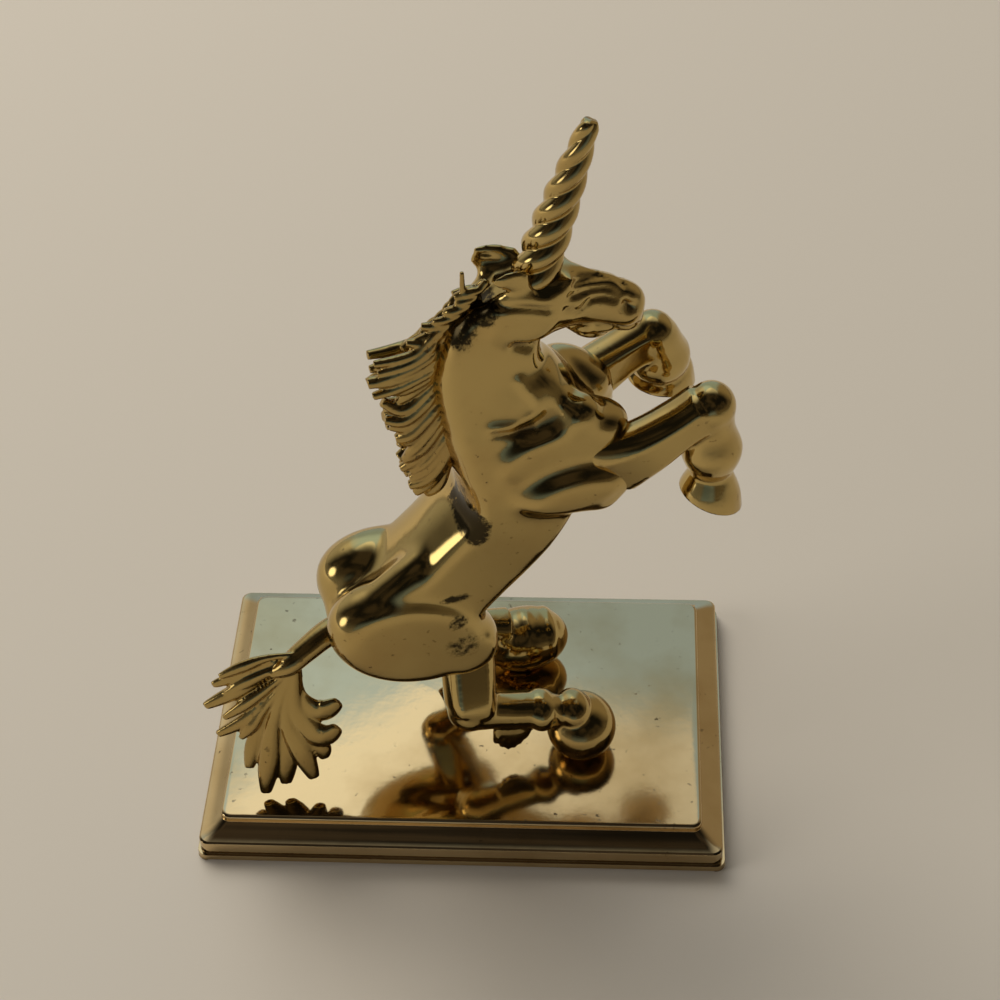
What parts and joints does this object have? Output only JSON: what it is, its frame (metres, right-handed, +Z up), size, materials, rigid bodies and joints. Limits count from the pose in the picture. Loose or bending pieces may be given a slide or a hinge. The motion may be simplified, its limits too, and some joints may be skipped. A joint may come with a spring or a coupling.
{
  "type": "unicorn figurine",
  "caption": "Small rearing unicorn ornament of polished gold-plated castings, standing on its crouched hind legs on a stepped rectangular plate.",
  "frame": {"origin": "centre of the plate's underside, on the surface the ornament stands on", "axes": "+Z up, +X along the plate's long side towards the side the unicorn faces, +Y towards the back of the plate"},
  "size_m": [0.0704, 0.046, 0.1018],
  "materials": {
    "gold_plate": "polished gold plate, lightly tarnished",
    "felt": "short dark green felt",
    "steel": "zinc-plated steel"
  },
  "bodies": {
    "root": {"base_plate": "gold_plate", "body": "gold_plate", "head": "gold_plate", "horn": "gold_plate", "mane": "gold_plate", "tail": "gold_plate", "right_foreleg": "gold_plate", "left_foreleg": "gold_plate", "right_hind_leg": "gold_plate", "left_hind_leg": "gold_plate", "felt_pad": "felt", "base_screws": "steel", "screw_washers": "steel"}
  },
  "joints": []
}
